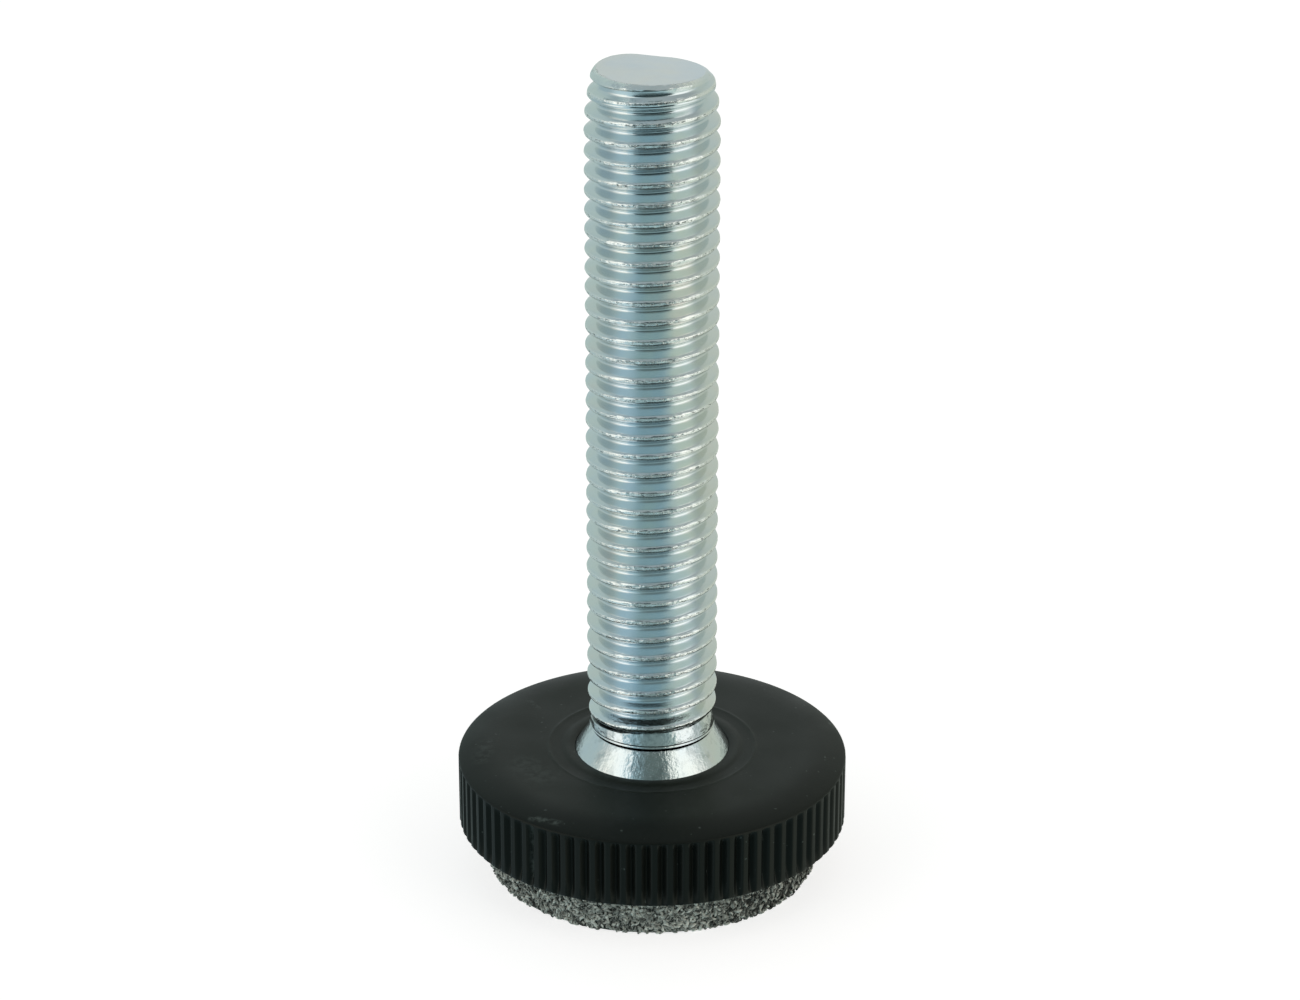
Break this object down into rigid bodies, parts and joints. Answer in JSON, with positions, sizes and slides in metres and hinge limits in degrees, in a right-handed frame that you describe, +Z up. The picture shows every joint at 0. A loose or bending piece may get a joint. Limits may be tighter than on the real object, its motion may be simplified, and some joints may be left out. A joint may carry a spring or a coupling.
{
  "type": "leveling foot",
  "caption": "Furniture leveling foot: a threaded zinc-plated stud with a conical collar, moulded into a round black fluted plastic base with a grey felt glide underneath.",
  "frame": {"origin": "centre of the felt disc's underside, where the foot stands on the floor", "axes": "+Z up along the stud's axis to its free end; the foot is round about Z, so X and Y are free, with -Y towards the viewer of the picture"},
  "size_m": [0.03, 0.03, 0.0641],
  "materials": {
    "zinc_plated_steel": "bright zinc plating with a faint blue and yellow-green passivation tint",
    "black_plastic": "matt black moulded plastic, slightly dusty, with soft sheen",
    "grey_felt": "pressed felt of mixed light and dark grey fibres"
  },
  "bodies": {
    "root": {"threaded_stud": "zinc_plated_steel", "fluted_base": "black_plastic", "felt_pad": "grey_felt"}
  },
  "joints": []
}
